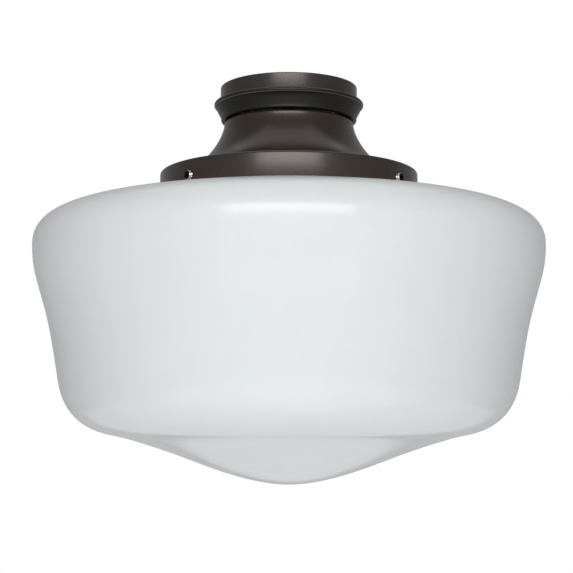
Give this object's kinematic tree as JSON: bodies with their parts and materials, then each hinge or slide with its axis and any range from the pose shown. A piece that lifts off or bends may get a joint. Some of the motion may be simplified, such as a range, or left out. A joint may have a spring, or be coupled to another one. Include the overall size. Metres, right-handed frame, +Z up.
{
  "type": "ceiling fan light kit",
  "caption": "Schoolhouse light kit of a ceiling fan: a stepped opal glass shade clamped in a bronze fitter pan under a beaded collar, with screw-base bulbs inside.",
  "frame": {"origin": "centre of the collar's top rim, where the kit meets the fan's switch housing", "axes": "+Z up along the axis of the shade, towards the fan; -Y is the front"},
  "size_m": [0.312, 0.312, 0.2449],
  "materials": {
    "bronze": "satin dark bronze",
    "opal_glass": "glossy opal white",
    "zinc_steel": "zinc plated",
    "black_steel": "black oxide",
    "porcelain": "glazed ceramic",
    "brass": "satin",
    "nickel": "nickel plated",
    "frosted": "frosted diffuser",
    "rubber": "matte",
    "nylon": "natural nylon",
    "aluminium": "satin sheet",
    "wire_black": "insulation",
    "wire_white": "insulation",
    "orange_plastic": "moulded"
  },
  "bodies": {
    "kit_frame": {"fitter_pan": "bronze", "mounting_collar": "bronze", "mounting_plate": "zinc_steel", "heat_shield": "aluminium", "supply_lead_black": "wire_black", "supply_lead_white": "wire_white", "socket_body_1": "porcelain", "socket_body_2": "porcelain", "glass_gasket": "rubber", "socket_bracket": "zinc_steel", "socket_lead_black_1": "wire_black", "socket_lead_black_2": "wire_black", "socket_lead_white_1": "wire_white", "socket_lead_white_2": "wire_white", "screw_shell_1": "brass", "screw_shell_2": "brass", "wire_connector_black": "orange_plastic", "wire_connector_white": "orange_plastic", "threaded_nipple": "zinc_steel", "upper_lock_washer": "zinc_steel", "lower_lock_washer": "zinc_steel", "socket_screw_1": "zinc_steel", "socket_screw_2": "zinc_steel", "socket_screw_3": "zinc_steel", "socket_screw_4": "zinc_steel", "shield_screw_1": "zinc_steel", "shield_screw_2": "zinc_steel", "plate_screw_1": "zinc_steel", "plate_screw_2": "zinc_steel", "plate_screw_3": "zinc_steel", "upper_locknut": "brass", "lower_locknut": "brass", "shield_stud_1": "zinc_steel", "shield_stud_2": "zinc_steel", "centre_contact_1": "brass", "centre_contact_2": "brass", "fan_plug": "nylon"},
    "shade": {"glass_shade": "opal_glass"},
    "bulb_1_tip": {"bulb_tip_1": "nickel"},
    "bulb_1": {"bulb_base_1": "nickel", "bulb_glass_1": "frosted"},
    "bulb_2_tip": {"bulb_tip_2": "nickel"},
    "bulb_2": {"bulb_base_2": "nickel", "bulb_glass_2": "frosted"},
    "clamp_screw_1": {"clamp_screw_1": "black_steel", "clamp_pad_1": "nylon"},
    "clamp_screw_2": {"clamp_screw_2": "black_steel", "clamp_pad_2": "nylon"},
    "clamp_screw_3": {"clamp_screw_3": "black_steel", "clamp_pad_3": "nylon"}
  },
  "joints": [
    {"name": "shade_drop", "type": "slide", "parent": "kit_frame", "child": "shade", "axis": [0, 0, -1], "range_m": [0, 0.1]},
    {"name": "bulb_1_out", "type": "slide", "parent": "kit_frame", "child": "bulb_1_tip", "axis": [0, 0, -1], "range_m": [0, 0.0265]},
    {"name": "bulb_1_turn", "type": "hinge", "parent": "bulb_1_tip", "child": "bulb_1", "pos_m": [-0.027, 0, -0.0521], "axis": [0, 0, -1], "range_deg": [0, 2627.6]},
    {"name": "bulb_2_out", "type": "slide", "parent": "kit_frame", "child": "bulb_2_tip", "axis": [0, 0, -1], "range_m": [0, 0.0265]},
    {"name": "bulb_2_turn", "type": "hinge", "parent": "bulb_2_tip", "child": "bulb_2", "pos_m": [0.027, 0, -0.0521], "axis": [0, 0, -1], "range_deg": [0, 2627.6]},
    {"name": "clamp_1_back", "type": "slide", "parent": "kit_frame", "child": "clamp_screw_1", "axis": [-0.7314, -0.682, 0], "range_m": [0, 0.002]},
    {"name": "clamp_2_back", "type": "slide", "parent": "kit_frame", "child": "clamp_screw_2", "axis": [0.8131, -0.5821, 0], "range_m": [0, 0.002]},
    {"name": "clamp_3_back", "type": "slide", "parent": "kit_frame", "child": "clamp_screw_3", "axis": [-0.0645, 0.9979, 0], "range_m": [0, 0.002]}
  ],
  "couplings": [
    {"joint": "bulb_1_out", "follows": "bulb_1_turn", "m_per_rad": 0.00057773},
    {"joint": "bulb_2_out", "follows": "bulb_2_turn", "m_per_rad": 0.00057773}
  ]
}
